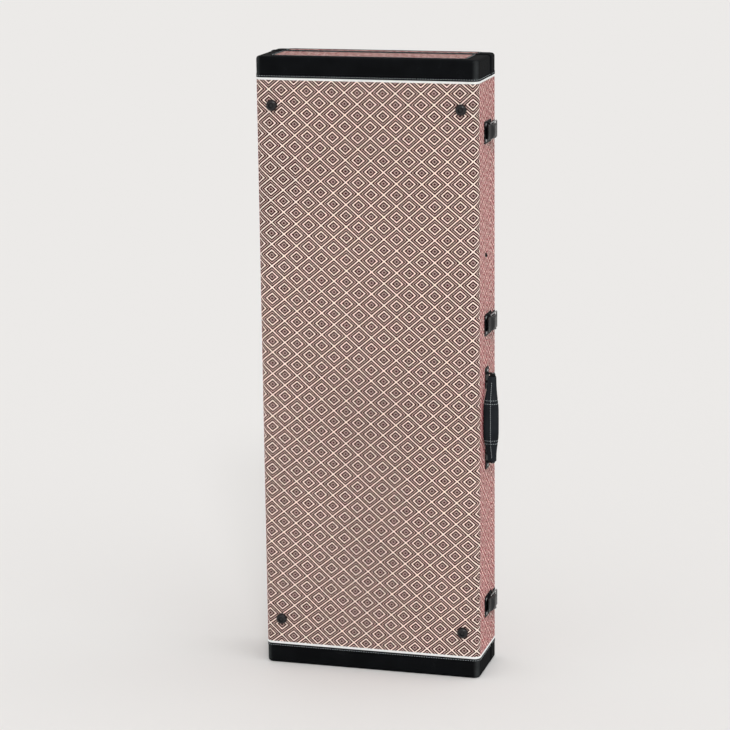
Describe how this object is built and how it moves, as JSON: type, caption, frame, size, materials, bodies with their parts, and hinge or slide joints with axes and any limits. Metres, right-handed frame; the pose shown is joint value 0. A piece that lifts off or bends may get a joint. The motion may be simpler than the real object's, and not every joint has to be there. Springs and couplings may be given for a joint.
{
  "type": "electric guitar case",
  "caption": "Rectangular hardshell case for an electric guitar: hinged lid, draw latches, folding handle, feet, and a lined inside with cushions and an accessory box.",
  "frame": {"origin": "centre of the lower end face, on which the case stands", "axes": "+Z along the case from the body end to the headstock end, -Y the broad back with the feet, +Y the lid, +X the wall with the latches and the handle, -X the wall with the lid's hinges"},
  "size_m": [0.4043, 0.132, 1.03],
  "materials": {
    "plywood": "birch plywood, hidden under cover and lining",
    "woven_cover": "woven cloth, nested diamonds in cream and brown",
    "black_leather": "black grained leather cloth, satin",
    "white_piping": "off-white vinyl piping",
    "plush": "short black plush",
    "plush_board": "plush on board",
    "ribbon": "woven ribbon",
    "lip_plastic": "black plastic strip",
    "rubber_foot": "glossy black rubber",
    "steel": "plated steel",
    "black_metal": "blackened steel, semi-gloss"
  },
  "bodies": {
    "base": {"base_panel": "plywood", "base_side_board_left": "plywood", "base_side_board_right": "plywood", "base_end_board_bottom": "plywood", "base_end_board_top": "plywood", "base_fabric": "woven_cover", "base_end_fabric": "woven_cover", "base_wrap_bottom": "black_leather", "base_wrap_top": "black_leather", "base_piping": "white_piping", "base_lining": "plush", "base_lip": "lip_plastic", "body_cushion_left": "plush", "body_cushion_right": "plush", "neck_cradle": "plush", "head_pad": "plush", "accessory_box": "plush_board", "feet": "rubber_foot", "foot_screws": "steel", "base_rivets": "black_metal", "side_stud": "black_metal", "hinge_pins": "black_metal", "latch_pivots": "black_metal", "handle_pins": "black_metal", "handle_bracket_lower": "black_metal", "handle_bracket_upper": "black_metal", "hinge_base_leaf_lower": "black_metal", "latch_plate_lower": "black_metal", "hinge_base_leaf_middle": "black_metal", "latch_plate_middle": "black_metal", "hinge_base_leaf_upper": "black_metal", "latch_plate_upper": "black_metal"},
    "lid": {"lid_panel": "plywood", "lid_side_board_left": "plywood", "lid_side_board_right": "plywood", "lid_end_board_bottom": "plywood", "lid_end_board_top": "plywood", "lid_fabric": "woven_cover", "lid_end_fabric": "woven_cover", "lid_wrap_bottom": "black_leather", "lid_wrap_top": "black_leather", "lid_piping": "white_piping", "lid_lining": "plush", "lid_cushion": "plush", "lid_rivets": "black_metal", "hinge_lid_leaf_lower": "black_metal", "latch_keeper_lower": "black_metal", "hinge_lid_leaf_middle": "black_metal", "latch_keeper_middle": "black_metal", "hinge_lid_leaf_upper": "black_metal", "latch_keeper_upper": "black_metal"},
    "handle": {"handle_core": "black_metal", "handle_grip": "black_leather"},
    "accessory_cover": {"accessory_lid": "plush_board", "accessory_pins": "steel", "accessory_tab": "ribbon"},
    "lower_lever": {"latch_lever_lower": "black_metal"},
    "lower_bail": {"latch_bail_lower": "black_metal"},
    "middle_lever": {"latch_lever_middle": "black_metal"},
    "middle_bail": {"latch_bail_middle": "black_metal"},
    "upper_lever": {"latch_lever_upper": "black_metal"},
    "upper_bail": {"latch_bail_upper": "black_metal"}
  },
  "joints": [
    {"name": "lid_hinge", "type": "hinge", "parent": "base", "child": "lid", "pos_m": [-0.1892, 0.0265, 0.515], "axis": [0, 0, 1], "range_deg": [0, 110]},
    {"name": "handle_hinge", "type": "hinge", "parent": "base", "child": "handle", "pos_m": [0.196, -0.0075, 0.436], "axis": [0, 0, 1], "range_deg": [0, 166]},
    {"name": "accessory_lid_hinge", "type": "hinge", "parent": "base", "child": "accessory_cover", "pos_m": [0.1701, -0.0123, 0.72], "axis": [0, 0, -1], "range_deg": [0, 90]},
    {"name": "lower_lever_pivot", "type": "hinge", "parent": "base", "child": "lower_lever", "pos_m": [0.1919, 0.016, 0.112], "axis": [0, 0, 1], "range_deg": [0, 140]},
    {"name": "lower_bail_pivot", "type": "hinge", "parent": "lower_lever", "child": "lower_bail", "pos_m": [0.1901, 0.0055, 0.112], "axis": [0, 0, 1], "range_deg": [-140, 0]},
    {"name": "middle_lever_pivot", "type": "hinge", "parent": "base", "child": "middle_lever", "pos_m": [0.1919, 0.016, 0.593], "axis": [0, 0, 1], "range_deg": [0, 140]},
    {"name": "middle_bail_pivot", "type": "hinge", "parent": "middle_lever", "child": "middle_bail", "pos_m": [0.1901, 0.0055, 0.593], "axis": [0, 0, 1], "range_deg": [-140, 0]},
    {"name": "upper_lever_pivot", "type": "hinge", "parent": "base", "child": "upper_lever", "pos_m": [0.1919, 0.016, 0.909], "axis": [0, 0, 1], "range_deg": [0, 140]},
    {"name": "upper_bail_pivot", "type": "hinge", "parent": "upper_lever", "child": "upper_bail", "pos_m": [0.1901, 0.0055, 0.909], "axis": [0, 0, 1], "range_deg": [-140, 0]}
  ],
  "couplings": [
    {"joint": "lower_bail_pivot", "follows": "lower_lever_pivot", "ratio": -1},
    {"joint": "middle_bail_pivot", "follows": "middle_lever_pivot", "ratio": -1},
    {"joint": "upper_bail_pivot", "follows": "upper_lever_pivot", "ratio": -1}
  ]
}
